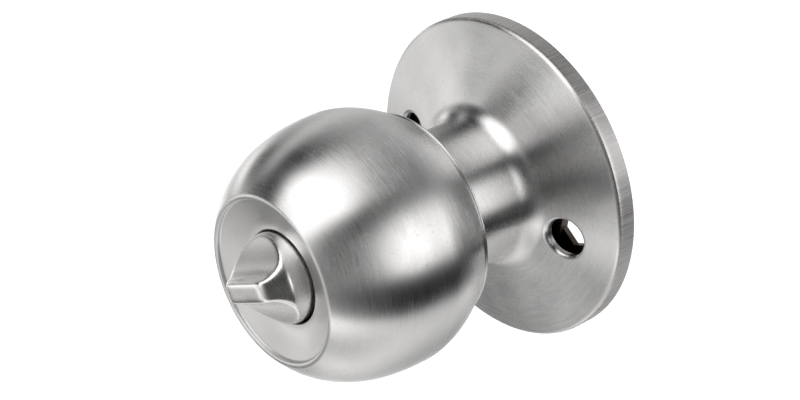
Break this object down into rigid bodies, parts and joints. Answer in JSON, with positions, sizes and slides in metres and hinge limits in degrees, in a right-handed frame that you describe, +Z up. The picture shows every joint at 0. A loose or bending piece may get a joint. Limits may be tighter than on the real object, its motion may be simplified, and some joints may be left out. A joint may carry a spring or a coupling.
{
  "type": "door knob",
  "caption": "Satin steel ball door knob with a dished face and finned turn button, on a round rose with a trumpet neck and open screw holes.",
  "frame": {"origin": "centre of the rose's back plane, where the spindle axis crosses the face of the door", "axes": "-Y out of the door along the spindle axis towards the turn button, +Y into the door, +Z up, the two screw holes level on X"},
  "size_m": [0.07, 0.0871, 0.07],
  "materials": {
    "satin_stainless": "satin, fine brush lines round the turning axis",
    "plated_steel": "zinc plated, dull",
    "spring_steel": "oiled dark steel",
    "sintered_steel": "dull grey, fine grained",
    "nylon": "black moulded nylon"
  },
  "bodies": {
    "rose": {"rose_cover": "satin_stainless", "mounting_plate": "plated_steel", "spring_cage": "plated_steel", "cage_rivet_1": "plated_steel", "cage_rivet_2": "plated_steel", "cage_rivet_3": "plated_steel", "cage_rivet_4": "plated_steel", "neck_bush": "nylon", "return_spring": "spring_steel"},
    "knob": {"knob_shell": "satin_stainless", "face_cup": "satin_stainless", "knob_back": "satin_stainless", "shank_flange": "plated_steel", "knob_shank": "plated_steel", "drive_plate": "plated_steel", "wave_washer": "spring_steel", "thrust_washer": "plated_steel", "shank_circlip": "spring_steel", "spindle_socket": "sintered_steel", "button_guide": "nylon", "detent_spring": "spring_steel"},
    "turn_button": {"turn_button": "satin_stainless", "button_stem": "sintered_steel", "stem_pin": "spring_steel", "lock_bar": "plated_steel", "stem_spring": "spring_steel", "stem_washer": "plated_steel", "stem_clip": "spring_steel"}
  },
  "joints": [
    {"name": "knob_turn", "type": "hinge", "parent": "rose", "child": "knob", "pos_m": [0, -0.02, 0], "axis": [0, -1, 0], "range_deg": [-60, 60], "stiffness_Nm_per_rad": 0.5, "deforming": ["return_spring"]},
    {"name": "button_turn", "type": "hinge", "parent": "knob", "child": "turn_button", "pos_m": [0, -0.06, 0], "axis": [0, -1, 0], "range_deg": [-34, 56]}
  ]
}
